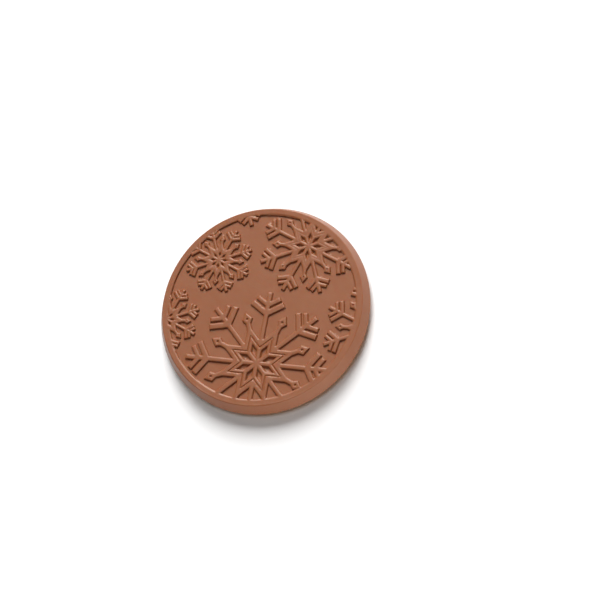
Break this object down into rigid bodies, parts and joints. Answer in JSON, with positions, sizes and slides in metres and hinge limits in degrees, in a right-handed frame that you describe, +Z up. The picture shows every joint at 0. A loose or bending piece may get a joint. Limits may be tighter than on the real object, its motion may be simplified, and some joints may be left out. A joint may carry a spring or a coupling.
{
  "type": "chocolate sugar cookie",
  "caption": "Round sugar biscuit with an embossed ribbed back, topped by a thick milk-chocolate disc with snowflakes in relief inside a low rim.",
  "frame": {"origin": "centre of the underside, on the surface that the cookie rests on", "axes": "+Z up out of the chocolate's decorated face, +Y towards the edge with the two middle-sized snowflakes, away from the large one, +X to the right of them"},
  "size_m": [0.065, 0.065, 0.0066],
  "materials": {
    "milk_chocolate": "satin",
    "baked_biscuit": "matte"
  },
  "bodies": {
    "root": {"chocolate": "milk_chocolate", "biscuit": "baked_biscuit"}
  },
  "joints": []
}
